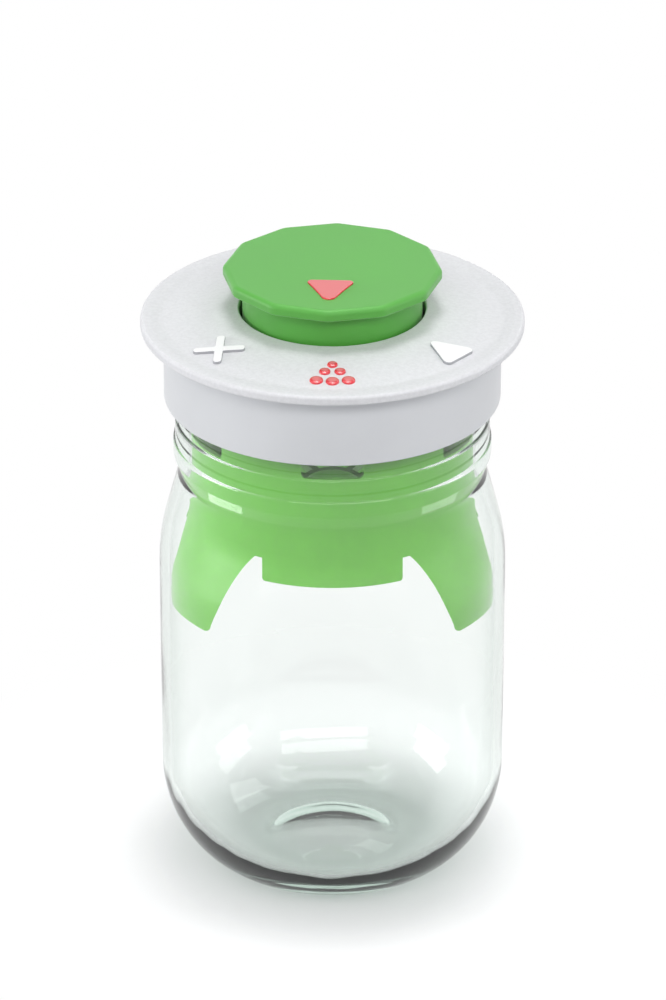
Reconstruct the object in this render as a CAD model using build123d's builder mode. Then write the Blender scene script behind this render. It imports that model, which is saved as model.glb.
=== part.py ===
from build123d import *
from math import asin, cos, degrees, radians, sin, tan
import os

os.makedirs("parts", exist_ok=True)

# Fermentation jar: a glass jar with a press inside, and a screw cap whose knob closes, vents
# or opens a gas port. Sizes are in millimetres. The origin is the middle of the base, +Z is
# up, and the front of the jar, where the knob's pointer rests, faces -Y.

# Glass jar
jar_height = 168.0
body_radius = 51.0
glass_wall = 3.0
base_thickness = 5.5
push_up = 2.5
foot_width = 3.0
heel_width = 27.0
heel_height = 32.5
shoulder_angle = 15.6
shoulder_bend = 60.0
neck_height = 38.8
neck_radius = 45.4
neck_wall = 3.2
groove_depth = 0.8
groove_bend = 3.0
bead_depth = 1.0
bead_rounding = 1.3
bead_foot = 2.2
lower_bead_rise = 7.9
lower_bead_height = 3.4
upper_bead_rise = 15.4
upper_bead_height = 3.4
rim_rounding = 1.0

# Press ring: a band with six tabs above and six petals below
press_wall = 1.3
mouth_clearance = 0.8
tab_drop = 12.0
tab_gap_width = 17.4
tab_top_corner = 4.0
tab_root_corner = 1.5
band_top_rise = 15.0
band_bottom_drop = 14.0
petal_clearance = 0.35
petal_bend = 18.0
petal_land = 8.0
petal_reach = 16.0
petal_corner = 2.5
long_petal_half_angle = 14.0
short_petal_half_angle = 28.6
short_petal_drop = 19.0
short_petal_corner = 0.8
slit_top_drop = 12.7
slit_top_angle = 3.2
slit_bow = 1.4

# Press grate
grate_thickness = 2.4
grate_ledge = 1.3
grate_ledge_drop = 9.0
grate_seat = 0.1
grate_bar = 2.0
grate_hub_hole = 8.0
grate_ring_radius = 24.0
grate_spokes = 12

# Rim gasket and screw cap
gasket_thickness = 2.0
gasket_side_gap = 0.35
gasket_rounding = 0.5
thread_depth = 1.3
thread_clearance = 0.35
cap_wall = 1.9
skirt_drop = 16.4
skirt_rounding = 0.7
deck_thickness = 2.2
plug_ring_wall = 1.7
plug_ring_drop = 3.0
plug_clearance = 0.9
gusset_count = 8
gusset_thickness = 1.4

# Dial plate
dial_gap = 1.6
dial_overhang = 6.6
dial_edge = 2.7
dial_edge_rounding = 1.0
dial_rim_width = 2.8
dial_rise = 2.75
dial_skin = 2.2
valley_depth = 0.35
valley_inset = 6.2
snap_clearance = 0.1
snap_bead = 0.35
spigot_wall = 1.7
dial_rib_count = 12
dial_rib_thickness = 1.4
dial_rib_gap = 0.1
land_extra = 0.4

# Knob, and the well that it turns in
drum_radius = 26.0
drum_wall = 2.0
dial_hole_clearance = 1.0
well_extra = 0.2
well_wall = 1.8
well_depth = 16.3
well_rounding = 1.2
floor_thickness = 2.2
drum_floor_gap = 0.8
neck_exposed = 9.25
head_overhang = 5.8
head_thickness = 3.35
head_sides = 12
head_turn = -2.7
head_corner = 5.0
head_top_rounding = 1.5
head_bottom_rounding = 0.6
drum_root_rounding = 1.5
knob_rib_count = 6
knob_rib_thickness = 1.5

# Spindle through the floor of the well
spindle_radius = 5.0
running_clearance = 0.1
hub_wall = 4.4
hub_drop = 4.5
spindle_tip = 1.6
spindle_chamfer = 0.8
washer_gap = 0.3
washer_thickness = 1.0
washer_radius = 9.0
washer_slot_width = 1.2
washer_slot_end = 6.2
washer_slot_count = 6
washer_groove_depth = 1.2
o_ring_groove_depth = 1.3
o_ring_groove_width = 2.2
o_ring_width = 1.9
o_ring_rounding = 0.55
o_ring_proud = 0.02
fit_gap = 0.05

# Gas port, and the rotor disc that the knob turns over it
port_offset = 15.0
port_radius = 3.0
port_gasket_inner = 4.2
port_gasket_outer = 6.6
port_gasket_rounding = 0.3
port_recess = 1.2
port_boss_wall = 1.6
port_boss_drop = 1.5
rotor_gap = 2.2
rotor_thickness = 2.6
rotor_clearance = 0.1
station_angle = 51.0
open_station_radius = 3.5
vent_hole_radius = 0.75
vent_hole_offset = 2.7
vent_hole_count = 6
valve_pocket_radius = 3.9
valve_pocket_depth = 1.3
valve_stem_radius = 1.1
valve_bulb_radius = 1.7
valve_bulb_length = 1.0
valve_cap_radius = 4.6
valve_cap_edge = 0.4
valve_cap_height = 1.5
stop_offset = 19.5
stop_width = 2.4
stop_length = 3.0
stop_clearance = 0.3
stop_top_gap = 0.6
key_count = 3
key_width = 4.8
key_clearance = 0.1
key_inset = 0.3

# Pointer inlay in the knob's head: its straight side faces the middle
pointer_base_offset = 10.5
pointer_tip_offset = 27.6
pointer_half_width = 7.45
pointer_bow = 0.4
pointer_base_corner = 1.3
pointer_tip_corner = 2.2
pointer_depth = 1.2
pointer_proud = 0.5
pointer_rounding = 0.35

# Places and radii in the jar that follow from the sizes above
inner_radius = body_radius - glass_wall
mouth_radius = neck_radius - neck_wall
foot_radius = body_radius - heel_width
groove_radius = neck_radius - groove_depth
bead_radius = neck_radius + bead_depth
groove_z = jar_height - neck_height
lower_bead_z = groove_z + lower_bead_rise
lower_bead_top_z = lower_bead_z + lower_bead_height
upper_bead_z = groove_z + upper_bead_rise
upper_bead_top_z = upper_bead_z + upper_bead_height
shoulder_slope = tan(radians(shoulder_angle))
shoulder_wall = glass_wall / cos(radians(shoulder_angle))
knee_z = groove_z - (body_radius - groove_radius) / shoulder_slope
inner_groove_z = groove_z - (mouth_radius + shoulder_wall - groove_radius) / shoulder_slope
inner_knee_z = groove_z - (inner_radius + shoulder_wall - groove_radius) / shoulder_slope

# Places and radii in the press
press_radius = mouth_radius - mouth_clearance
press_inner = press_radius - press_wall
petal_radius = inner_radius - petal_clearance
petal_inner = petal_radius - press_wall
tab_top_z = jar_height - tab_drop
band_top_z = groove_z + band_top_rise
band_bottom_z = groove_z - band_bottom_drop
petal_tip_z = knee_z - petal_reach
petal_land_z = petal_tip_z + petal_land
short_petal_z = groove_z - short_petal_drop
short_petal_half_width = press_radius * sin(radians(short_petal_half_angle))
slit_top_z = groove_z - slit_top_drop
slit_side_width = press_radius * sin(radians(short_petal_half_angle + slit_top_angle))
slit_end_width = petal_radius * sin(radians(60 - long_petal_half_angle))
petal_corner_width = petal_corner * cos(radians(60 - long_petal_half_angle))
grate_z = groove_z - grate_ledge_drop
grate_radius = press_inner - grate_seat

# Places and radii in the cap and the dial plate
skirt_inner = neck_radius + thread_depth + thread_clearance
skirt_outer = skirt_inner + cap_wall
skirt_z = jar_height - skirt_drop
deck_z = jar_height + gasket_thickness
deck_top_z = deck_z + deck_thickness
dial_z = deck_top_z + dial_gap
plug_outer = mouth_radius - plug_clearance
plug_inner = plug_outer - plug_ring_wall
plug_z = jar_height - plug_ring_drop
dial_radius = skirt_outer + dial_overhang
dial_hole = drum_radius + dial_hole_clearance
dial_edge_z = dial_z + dial_edge
dial_hole_z = dial_edge_z + dial_rise
valley_radius = dial_radius - valley_inset
valley_z = dial_edge_z - valley_depth
cone_slope = (dial_hole_z - valley_z) / (valley_radius - dial_hole)
spigot_outer = skirt_inner - snap_clearance
spigot_inner = spigot_outer - spigot_wall
spigot_root_z = dial_hole_z - cone_slope * (spigot_inner - dial_hole) - dial_skin
snap_z = (deck_top_z + dial_z) / 2

# Places and radii in the well, the knob and the rotor
well_inner = dial_hole + well_extra
well_outer = well_inner + well_wall
well_top_z = dial_hole_z - dial_skin
floor_z = well_top_z - well_depth
floor_bottom_z = floor_z - floor_thickness
hub_z = floor_bottom_z - hub_drop
hub_radius = spindle_radius + hub_wall
bore_radius = spindle_radius + running_clearance
drum_z = floor_z + drum_floor_gap
drum_inner = drum_radius - drum_wall
head_z = dial_hole_z + neck_exposed
head_top_z = head_z + head_thickness
head_radius = drum_radius + head_overhang
rotor_z = floor_z + rotor_gap
rotor_top_z = rotor_z + rotor_thickness
rotor_radius = drum_inner - rotor_clearance
washer_top_z = hub_z - washer_gap
washer_z = washer_top_z - washer_thickness
washer_groove_radius = spindle_radius - washer_groove_depth
spindle_z = washer_z - spindle_tip
o_ring_z = (floor_bottom_z + hub_z) / 2
o_ring_groove_radius = spindle_radius - o_ring_groove_depth
slot_half_angle = station_angle + degrees(asin((stop_length / 2 + stop_clearance) / stop_offset))
slot_inner = stop_offset - stop_width / 2 - stop_clearance
slot_outer = stop_offset + stop_width / 2 + stop_clearance


def upright_plane(turn):
    """Plane through the jar's axis whose X is turned by turn degrees about it, with Z up."""
    angle = radians(turn)
    return Plane(
        origin=(0, 0, 0), x_dir=(cos(angle), sin(angle), 0), z_dir=(sin(angle), -cos(angle), 0)
    )


def rounded_outline(corners, close=True):
    """Line through corners of (x, y, rounding); an open one has no rounding at its ends."""
    points = [(x, y) for x, y, rounding in corners]
    roundings = [rounding for x, y, rounding in corners]
    FilletPolyline(*points, radius=roundings if close else roundings[1:-1], close=close)


# Glass jar: outside from the heel to the rim, then down the inside to the floor
glass_corners = [
    (body_radius, heel_height, 0),
    (body_radius, knee_z, shoulder_bend),
    (groove_radius, groove_z, groove_bend),
    (groove_radius + bead_depth / 3, lower_bead_z - bead_foot, bead_rounding),
    (bead_radius, lower_bead_z, bead_rounding),
    (bead_radius, lower_bead_top_z, bead_rounding),
    (neck_radius + bead_depth / 3, (lower_bead_top_z + upper_bead_z) / 2, bead_rounding),
    (bead_radius, upper_bead_z, bead_rounding),
    (bead_radius, upper_bead_top_z, bead_rounding),
    (neck_radius, upper_bead_top_z + bead_rounding, bead_rounding / 2),
    (neck_radius, jar_height, rim_rounding),
    (mouth_radius, jar_height, rim_rounding),
    (mouth_radius, inner_groove_z, shoulder_bend / 4),
    (inner_radius, inner_knee_z, shoulder_bend - glass_wall),
    (inner_radius, heel_height, 0),
]
with BuildPart() as glass_jar:
    with BuildSketch(Plane.XZ):
        with BuildLine():
            rounded_outline(glass_corners, close=False)
            EllipticalCenterArc(
                (foot_radius, heel_height), heel_width, heel_height, start_angle=270, arc_size=90
            )
            Line((foot_radius, 0), (foot_radius - foot_width, 0))
            TangentArc((0, push_up), (foot_radius - foot_width, 0), tangent=(1, 0))
            Line((0, push_up), (0, base_thickness))
            Line((0, base_thickness), (foot_radius, base_thickness))
            EllipticalCenterArc(
                (foot_radius, heel_height),
                heel_width - glass_wall,
                heel_height - base_thickness,
                start_angle=270,
                arc_size=90,
            )
        make_face()
    revolve(axis=Axis.Z)
glass_jar.part.label = "glass_jar"
export_step(glass_jar.part, "parts/glass_jar.step")


# Press ring: one turned wall, flared at the bottom to touch the jar below its shoulder
with BuildPart() as press_ring:
    with BuildSketch(Plane.XZ):
        with BuildLine():
            rounded_outline(
                [
                    (press_radius, tab_top_z, 0),
                    (press_radius, band_bottom_z, petal_bend),
                    (petal_radius, petal_land_z, petal_bend),
                    (petal_radius, petal_tip_z, 0),
                    (petal_inner, petal_tip_z, 0),
                    (petal_inner, petal_land_z, petal_bend),
                    (press_inner, band_bottom_z, petal_bend),
                    (press_inner, grate_z - press_wall, 0),
                    (press_inner - grate_ledge, grate_z, 0),
                    (press_inner, grate_z, 0),
                    (press_inner, tab_top_z, 0),
                ]
            )
        make_face()
    revolve(axis=Axis.Z)
    # Gaps between the tabs, one over the middle of each petal
    for turn in range(0, 360, 60):
        with BuildSketch(upright_plane(turn)) as tab_gap:
            with Locations((0, band_top_z)):
                Rectangle(
                    tab_gap_width, 2 * (tab_top_z - band_top_z), align=(Align.CENTER, Align.MIN)
                )
            fillet(tab_gap.vertices().group_by(Axis.Z)[0], tab_root_corner)
        extrude(amount=petal_radius, mode=Mode.SUBTRACT)
    # Windows under the three short petals, each with a slit up beside the next long petal
    for turn in range(0, 360, 120):
        with BuildSketch(upright_plane(turn)) as window:
            with BuildLine():
                rounded_outline(
                    [
                        (0, short_petal_z, 0),
                        (short_petal_half_width, short_petal_z, short_petal_corner),
                        (short_petal_half_width, slit_top_z, 0),
                        (slit_side_width, slit_top_z, 0),
                    ],
                    close=False,
                )
                corner_start = (slit_end_width, petal_tip_z + petal_corner)
                corner_end = (slit_end_width + petal_corner_width, petal_tip_z)
                SagittaArc((slit_side_width, slit_top_z), corner_start, slit_bow)
                TangentArc(corner_start, corner_end, tangent=(0, -1))
                Polyline(
                    corner_end,
                    (corner_end[0], petal_tip_z - petal_land),
                    (0, petal_tip_z - petal_land),
                    (0, short_petal_z),
                )
            make_face()
            mirror(about=Plane.YZ)
        extrude(amount=petal_radius + press_wall, mode=Mode.SUBTRACT)
    tab_corners = press_ring.edges().filter_by(GeomType.LINE).group_by(Axis.Z)[-1]
    fillet(tab_corners, tab_top_corner)
press_ring.part.label = "press_ring"
export_step(press_ring.part, "parts/press_ring.step")


# Press grate: rings and spokes that rest on the ledge inside the press ring
with BuildPart() as press_grate:
    with BuildSketch(Plane.XY.offset(grate_z)):
        Circle(grate_radius)
        Circle(grate_radius - grate_bar - grate_ledge, mode=Mode.SUBTRACT)
        Circle(grate_ring_radius + grate_bar / 2)
        Circle(grate_ring_radius - grate_bar / 2, mode=Mode.SUBTRACT)
        Circle(grate_hub_hole + grate_bar)
        with PolarLocations(0, grate_spokes):
            Rectangle(
                grate_radius - grate_bar, grate_bar, align=(Align.MIN, Align.CENTER)
            )
        Circle(grate_hub_hole, mode=Mode.SUBTRACT)
    extrude(amount=grate_thickness)
press_grate.part.label = "press_grate"
export_step(press_grate.part, "parts/press_grate.step")


# Rim gasket: lies on the glass rim, under the deck of the cap
with BuildPart() as rim_gasket:
    with BuildSketch(Plane.XZ):
        with BuildLine():
            rounded_outline(
                [
                    (plug_outer + gasket_side_gap, jar_height, gasket_rounding),
                    (skirt_inner - gasket_side_gap, jar_height, gasket_rounding),
                    (skirt_inner - gasket_side_gap, deck_z, gasket_rounding),
                    (plug_outer + gasket_side_gap, deck_z, gasket_rounding),
                ]
            )
        make_face()
    revolve(axis=Axis.Z)
rim_gasket.part.label = "rim_gasket"
export_step(rim_gasket.part, "parts/rim_gasket.step")


# Screw cap: hub, floor and wall of the well, plug ring, skirt, and the deck between them
with BuildPart() as screw_cap:
    with BuildSketch(Plane.XZ):
        with BuildLine():
            rounded_outline(
                [
                    (bore_radius, hub_z, 0),
                    (hub_radius, hub_z, 0),
                    (hub_radius, floor_bottom_z, 0),
                    (well_outer, floor_bottom_z, well_rounding),
                    (well_outer, deck_z, 0),
                    (plug_inner, deck_z, 0),
                    (plug_inner, plug_z, 0),
                    (plug_outer, plug_z, 0),
                    (plug_outer, deck_z, 0),
                    (skirt_inner, deck_z, 0),
                    (skirt_inner, skirt_z, skirt_rounding),
                    (skirt_outer, skirt_z, skirt_rounding),
                    (skirt_outer, dial_z, 0),
                    (skirt_inner, dial_z, 0),
                    (skirt_inner, snap_z + snap_bead, 0),
                    (skirt_inner + snap_bead, snap_z, 0),
                    (skirt_inner, snap_z - snap_bead, 0),
                    (skirt_inner, deck_top_z, 0),
                    (well_outer, deck_top_z, 0),
                    (well_outer, well_top_z, 0),
                    (well_inner, well_top_z, 0),
                    (well_inner, floor_z, 0),
                    (bore_radius, floor_z, 0),
                ]
            )
        make_face()
    revolve(axis=Axis.Z)
    # Gussets from the well to the plug ring
    for gusset in range(gusset_count):
        with BuildSketch(upright_plane((gusset + 0.5) * 360 / gusset_count)):
            with BuildLine():
                Polyline(
                    (well_outer - well_wall / 2, deck_z),
                    (plug_inner + plug_ring_wall / 2, deck_z),
                    (plug_inner + plug_ring_wall / 2, plug_z),
                    (plug_inner, plug_z),
                    (well_outer, floor_z),
                    (well_outer - well_wall / 2, floor_z),
                    close=True,
                )
            make_face()
        extrude(amount=gusset_thickness / 2, both=True)
    # Boss and counterbored hole of the gas port, behind the spindle
    with BuildSketch(Plane.XY.offset(floor_bottom_z - port_boss_drop)):
        with Locations((0, port_offset)):
            Circle(port_gasket_outer + port_boss_wall)
        Circle(bore_radius, mode=Mode.SUBTRACT)
    extrude(amount=port_boss_drop)
    with Locations((0, port_offset, floor_z)):
        CounterBoreHole(
            radius=port_radius,
            counter_bore_radius=port_gasket_outer + fit_gap,
            counter_bore_depth=port_recess,
        )
    # Stop that runs in the slot of the rotor disc
    with BuildSketch(Plane.XY.offset(floor_z)):
        with Locations((0, -stop_offset)):
            Rectangle(stop_length, stop_width)
    extrude(amount=rotor_top_z - stop_top_gap - floor_z)
screw_cap.part.label = "screw_cap"
export_step(screw_cap.part, "parts/screw_cap.step")


# Dial plate: cone from the hole down to a shallow valley, then a soft rim
with BuildPart() as dial_plate:
    with BuildSketch(Plane.XZ):
        with BuildLine():
            rounded_outline(
                [
                    (dial_hole, well_top_z, 0),
                    (dial_hole, dial_hole_z, dial_edge_rounding / 2),
                    (valley_radius, valley_z, valley_inset),
                    (dial_radius - dial_rim_width, dial_edge_z, dial_rim_width / 2),
                    (dial_radius, dial_edge_z, dial_edge_rounding),
                    (dial_radius, dial_z, dial_edge_rounding / 2),
                    (spigot_outer, dial_z, 0),
                    (spigot_outer, snap_z + snap_bead, 0),
                    (spigot_outer + snap_bead, snap_z, 0),
                    (spigot_outer, snap_z - snap_bead, 0),
                    (spigot_outer, deck_top_z, 0),
                    (spigot_inner, deck_top_z, 0),
                    (spigot_inner, spigot_root_z, 0),
                    (well_outer + land_extra, well_top_z, 0),
                ]
            )
        make_face()
    revolve(axis=Axis.Z)
    for rib in range(dial_rib_count):
        with BuildSketch(upright_plane(rib * 360 / dial_rib_count)):
            with BuildLine():
                Polyline(
                    (well_outer + land_extra, deck_top_z + dial_rib_gap),
                    (spigot_inner + spigot_wall / 2, deck_top_z + dial_rib_gap),
                    (spigot_inner + spigot_wall / 2, spigot_root_z + dial_skin / 2),
                    (well_outer + land_extra, well_top_z + dial_skin / 2),
                    close=True,
                )
            make_face()
        extrude(amount=dial_rib_thickness / 2, both=True)
dial_plate.part.label = "dial_plate"
export_step(dial_plate.part, "parts/dial_plate.step")


# Outline of the pointer, seen from above and not yet turned with the head
with BuildSketch() as pointer_outline:
    with BuildLine():
        base_left = (-pointer_half_width, -pointer_base_offset)
        base_right = (pointer_half_width, -pointer_base_offset)
        pointer_tip = (0, -pointer_tip_offset)
        Line(base_left, base_right)
        SagittaArc(base_right, pointer_tip, -pointer_bow)
        SagittaArc(pointer_tip, base_left, -pointer_bow)
    make_face()
    fillet(pointer_outline.vertices().group_by(Axis.Y)[-1], pointer_base_corner)
    fillet(pointer_outline.vertices().group_by(Axis.Y)[0], pointer_tip_corner)


# Knob: twelve-sided head, hollow drum with ribs, and the spindle. As in the photograph, the head
# and its pointer rest a little to the left of the dial's dots.
with BuildPart() as knob:
    with BuildSketch(Plane.XY.offset(head_z)) as head:
        RegularPolygon(head_radius, head_sides, rotation=head_turn)
        fillet(head.vertices(), head_corner)
    extrude(amount=head_thickness)
    fillet(knob.faces().sort_by(Axis.Z)[-1].edges(), head_top_rounding)
    fillet(knob.faces().sort_by(Axis.Z)[0].edges(), head_bottom_rounding)
    with BuildSketch(Plane.XY.offset(head_z)):
        Circle(drum_radius)
        Circle(drum_inner, mode=Mode.SUBTRACT)
    extrude(amount=drum_z - head_z)
    drum_root = knob.edges().filter_by(GeomType.CIRCLE).filter_by_position(Axis.Z, head_z, head_z)
    fillet(drum_root.sort_by(SortBy.RADIUS)[-1], drum_root_rounding)
    with BuildSketch(Plane.XY.offset(rotor_top_z)):
        with PolarLocations(0, knob_rib_count):
            Rectangle(
                drum_inner + drum_wall / 2, knob_rib_thickness, align=(Align.MIN, Align.CENTER)
            )
    extrude(amount=head_z - rotor_top_z)
    with BuildSketch(Plane.XY.offset(spindle_z)):
        Circle(spindle_radius)
    extrude(amount=head_z - spindle_z)
    chamfer(knob.faces().sort_by(Axis.Z)[0].edges(), spindle_chamfer)
    # Grooves of the retaining washer and the O-ring
    with BuildSketch(Plane.XY.offset(washer_z - fit_gap)):
        Circle(spindle_radius + fit_gap)
        Circle(washer_groove_radius, mode=Mode.SUBTRACT)
    extrude(amount=washer_thickness + 2 * fit_gap, mode=Mode.SUBTRACT)
    with BuildSketch(Plane.XY.offset(o_ring_z - o_ring_groove_width / 2)):
        Circle(spindle_radius + fit_gap)
        Circle(o_ring_groove_radius, mode=Mode.SUBTRACT)
    extrude(amount=o_ring_groove_width, mode=Mode.SUBTRACT)
    # Notches in the drum: every other one holds a key of the rotor disc, the rest let gas out
    with BuildSketch(Plane.XY.offset(drum_z)):
        with PolarLocations(drum_inner + drum_wall / 2, 2 * key_count, start_angle=30):
            Rectangle(2 * drum_wall, key_width + 2 * key_clearance)
    extrude(amount=rotor_top_z - drum_z, mode=Mode.SUBTRACT)
    # Pocket of the pointer
    with BuildSketch(Plane.XY.offset(head_top_z)):
        add(pointer_outline.sketch_local, rotation=head_turn)
    extrude(amount=-pointer_depth, mode=Mode.SUBTRACT)
knob.part.label = "knob"
export_step(knob.part, "parts/knob.step")


# Pointer inlay, a little proud of the head
with BuildPart() as knob_pointer:
    with BuildSketch(Plane.XY.offset(head_top_z - pointer_depth)):
        add(pointer_outline.sketch_local, rotation=head_turn)
        offset(amount=-fit_gap, mode=Mode.REPLACE)
    extrude(amount=pointer_depth + pointer_proud)
    fillet(knob_pointer.faces().sort_by(Axis.Z)[-1].edges(), pointer_rounding)
knob_pointer.part.label = "knob_pointer"
export_step(knob_pointer.part, "parts/knob_pointer.step")


# Rotor disc: at rest its valve station is over the port, and a turn by the station angle to
# one side brings the open station there, to the other side the blank one
with BuildPart() as rotor_disc:
    with BuildSketch(Plane.XY.offset(rotor_z)):
        Circle(rotor_radius)
        with PolarLocations(0, key_count, start_angle=30):
            Rectangle(drum_radius - key_inset, key_width, align=(Align.MIN, Align.CENTER))
        Circle(bore_radius, mode=Mode.SUBTRACT)
        with PolarLocations(port_offset, 1, start_angle=90 - station_angle):
            Circle(open_station_radius, mode=Mode.SUBTRACT)
        with Locations((0, port_offset)):
            Circle(valve_stem_radius + fit_gap, mode=Mode.SUBTRACT)
            with PolarLocations(vent_hole_offset, vent_hole_count):
                Circle(vent_hole_radius, mode=Mode.SUBTRACT)
    extrude(amount=rotor_thickness)
    with BuildSketch(Plane.XY.offset(rotor_z)):
        with Locations((0, port_offset)):
            Circle(valve_pocket_radius)
    extrude(amount=valve_pocket_depth, mode=Mode.SUBTRACT)
    # Curved slot for the stop, as long as the knob's travel
    with BuildSketch(Plane.XY.offset(rotor_z)):
        with BuildLine():
            inner_arc = CenterArc((0, 0), slot_inner, 270 - slot_half_angle, 2 * slot_half_angle)
            outer_arc = CenterArc((0, 0), slot_outer, 270 - slot_half_angle, 2 * slot_half_angle)
            Line(inner_arc @ 0, outer_arc @ 0)
            Line(inner_arc @ 1, outer_arc @ 1)
        make_face()
    extrude(amount=rotor_thickness, mode=Mode.SUBTRACT)
rotor_disc.part.label = "rotor_disc"
export_step(rotor_disc.part, "parts/rotor_disc.step")


# Vent valve: umbrella over the vent holes, with its stem and bulb through the rotor disc
valve_seat_z = rotor_z + valve_pocket_depth
with BuildPart() as vent_valve:
    with BuildSketch(Plane.XZ.offset(-port_offset)):
        with BuildLine():
            Polyline(
                (0, rotor_top_z + valve_cap_height),
                (0, valve_seat_z - valve_bulb_length),
                (valve_stem_radius, valve_seat_z - valve_bulb_length),
                (valve_bulb_radius, valve_seat_z),
                (valve_stem_radius, valve_seat_z),
                (valve_stem_radius, rotor_top_z),
                (valve_cap_radius, rotor_top_z),
                (valve_cap_radius, rotor_top_z + valve_cap_edge),
            )
            TangentArc(
                (0, rotor_top_z + valve_cap_height),
                (valve_cap_radius, rotor_top_z + valve_cap_edge),
                tangent=(1, 0),
            )
        make_face()
    revolve(axis=Axis((0, port_offset, 0), (0, 0, 1)))
vent_valve.part.label = "vent_valve"
export_step(vent_valve.part, "parts/vent_valve.step")


# Port gasket: stands in the counterbore of the port, up to the rotor disc
with BuildPart() as port_gasket:
    with BuildSketch(Plane.XY.offset(floor_z - port_recess)):
        with Locations((0, port_offset)):
            Circle(port_gasket_outer)
            Circle(port_gasket_inner, mode=Mode.SUBTRACT)
    extrude(amount=port_recess + rotor_gap)
    fillet(port_gasket.edges().filter_by(GeomType.CIRCLE), port_gasket_rounding)
port_gasket.part.label = "port_gasket"
export_step(port_gasket.part, "parts/port_gasket.step")


# O-ring in its groove, squeezed flat by the bore of the hub
with BuildPart() as spindle_o_ring:
    with BuildSketch(Plane.XZ):
        with BuildLine():
            rounded_outline(
                [
                    (o_ring_groove_radius, o_ring_z - o_ring_width / 2, o_ring_rounding),
                    (spindle_radius + o_ring_proud, o_ring_z - o_ring_width / 2, o_ring_rounding),
                    (spindle_radius + o_ring_proud, o_ring_z + o_ring_width / 2, o_ring_rounding),
                    (o_ring_groove_radius, o_ring_z + o_ring_width / 2, o_ring_rounding),
                ]
            )
        make_face()
    revolve(axis=Axis.Z)
spindle_o_ring.part.label = "spindle_o_ring"
export_step(spindle_o_ring.part, "parts/spindle_o_ring.step")


# Retaining washer: pushed over the spindle's tip, its slots give it spring
with BuildPart() as retaining_washer:
    with BuildSketch(Plane.XY.offset(washer_z)):
        Circle(washer_radius)
        Circle(washer_groove_radius + fit_gap, mode=Mode.SUBTRACT)
        with PolarLocations(0, washer_slot_count):
            Rectangle(
                washer_slot_end, washer_slot_width, align=(Align.MIN, Align.CENTER), mode=Mode.SUBTRACT
            )
    extrude(amount=washer_thickness)
retaining_washer.part.label = "retaining_washer"
export_step(retaining_washer.part, "parts/retaining_washer.step")
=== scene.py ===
"""Looks of a fermentation jar: turned glass with its thread, a green press inside it, and a white cap
with a dial, its signs and a rotary knob. Lengths are in metres, +Z is up and the front faces -Y."""

from math import cos, pi, radians, sin, sqrt, tan, tau

import bpy
from bpy.props import FloatProperty, FloatVectorProperty, IntProperty, PointerProperty
from mathutils import Matrix, Vector


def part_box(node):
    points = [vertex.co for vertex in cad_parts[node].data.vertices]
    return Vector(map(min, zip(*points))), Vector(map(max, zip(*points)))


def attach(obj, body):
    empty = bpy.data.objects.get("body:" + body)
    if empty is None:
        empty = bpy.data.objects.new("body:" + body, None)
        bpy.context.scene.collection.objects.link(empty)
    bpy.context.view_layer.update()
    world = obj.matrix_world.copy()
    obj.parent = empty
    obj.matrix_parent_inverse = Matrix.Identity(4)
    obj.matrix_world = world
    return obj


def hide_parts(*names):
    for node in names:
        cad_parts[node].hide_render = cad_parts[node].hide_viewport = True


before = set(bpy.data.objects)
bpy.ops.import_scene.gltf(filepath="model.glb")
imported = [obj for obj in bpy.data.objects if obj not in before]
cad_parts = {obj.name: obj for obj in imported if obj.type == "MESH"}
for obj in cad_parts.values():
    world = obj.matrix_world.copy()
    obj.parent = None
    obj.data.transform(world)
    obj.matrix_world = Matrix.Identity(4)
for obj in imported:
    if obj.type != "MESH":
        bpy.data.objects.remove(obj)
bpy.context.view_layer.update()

bl_info = {
    "name": "Fermentation Jar",
    "version": (1, 0, 0),
    "blender": (4, 5, 0),
    "location": "View3D > Sidebar > Jar",
    "description": "Builds the finished look of a fermentation jar round its packed frame",
    "category": "Object",
}

MM = 0.001
FRAME_PIXELS = 1000
FRAME_MIDDLE = 333
HEEL_RUNS = 22
DOME_RUNS = 12
# Each dot: how far it lies aside, its distance from the axis and its radius
DOTS = (
    (0, 37.1 * MM, 1.48 * MM),
    (-2.17 * MM, 40.6 * MM, 1.62 * MM),
    (2.17 * MM, 40.6 * MM, 1.62 * MM),
    (-4.53 * MM, 45.05 * MM, 1.92 * MM),
    (4.53 * MM, 45.05 * MM, 1.92 * MM),
    (0, 45.6 * MM, 1.92 * MM),
)
GLASS_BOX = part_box("glass_jar")
DIAL_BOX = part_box("dial_plate")


def length(name, description, default):
    """A length that a user may change, in metres."""
    return FloatProperty(name=name, description=description, default=default, precision=5, unit="LENGTH")


def angle(name, description, degrees):
    """An angle that a user may change, shown in degrees."""
    return FloatProperty(name=name, description=description, default=radians(degrees), unit="ROTATION")


def share(name, description, default):
    """A number from 0 to 1."""
    return FloatProperty(name=name, description=description, default=default, min=0, max=1, subtype="FACTOR")


def colour(name, description, default):
    """A colour, as linear red, green and blue."""
    return FloatVectorProperty(
        name=name, description=description, default=default, min=0, max=1, size=3, subtype="COLOR"
    )


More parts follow.
